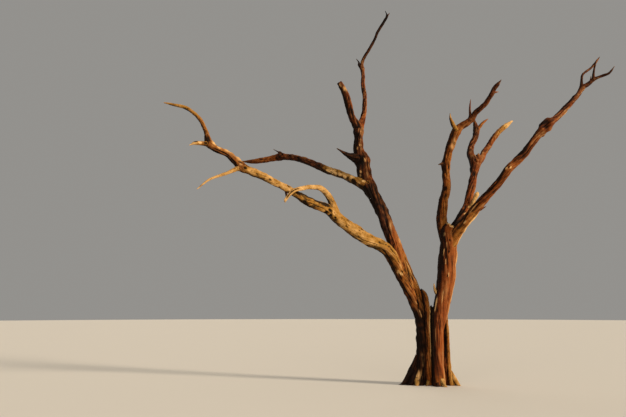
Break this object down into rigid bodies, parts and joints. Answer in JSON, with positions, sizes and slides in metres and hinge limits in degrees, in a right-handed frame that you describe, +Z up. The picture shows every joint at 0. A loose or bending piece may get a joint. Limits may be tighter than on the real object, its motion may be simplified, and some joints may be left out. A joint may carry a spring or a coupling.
{
  "type": "dead thorn tree",
  "caption": "Dead, bare, wind-stripped desert thorn tree with fused stems on one fluted trunk, long bare boughs, broken prongs and a few dry twigs.",
  "frame": {"origin": "in the middle of the flat cut under the trunk, at ground level", "axes": "+Z up the trunk; +X to the right of the usual view, along the widest spread of the boughs; +Y away from the viewer"},
  "size_m": [8.0982, 3.6258, 7.6092],
  "materials": {
    "trunk_wood": "old bark-stripped heartwood, fissured, orange brown",
    "bough_wood": "dark weathered limb wood with cracked grain",
    "bleached_wood": "sun-bleached tan limb wood, pitted",
    "twig_wood": "dry dull twig wood"
  },
  "bodies": {
    "root": {"trunk": "trunk_wood", "left_stem": "trunk_wood", "right_stem": "trunk_wood", "low_bough": "bleached_wood", "low_bough_end": "bleached_wood", "low_bough_curl": "bleached_wood", "hanging_twig": "bleached_wood", "far_left_twigs": "twig_wood", "leader": "bough_wood", "upper_left_bough": "bough_wood", "leader_left_prong": "bough_wood", "leader_right_prong": "bough_wood", "crown_tip_twigs": "twig_wood", "right_bough": "bough_wood", "left_upright_bough": "bough_wood", "left_upright_end": "bough_wood", "middle_bough": "bough_wood", "middle_bough_prong": "bough_wood", "middle_bough_fork": "bough_wood", "right_bough_upper": "bough_wood", "right_end_twigs": "twig_wood"}
  },
  "joints": []
}
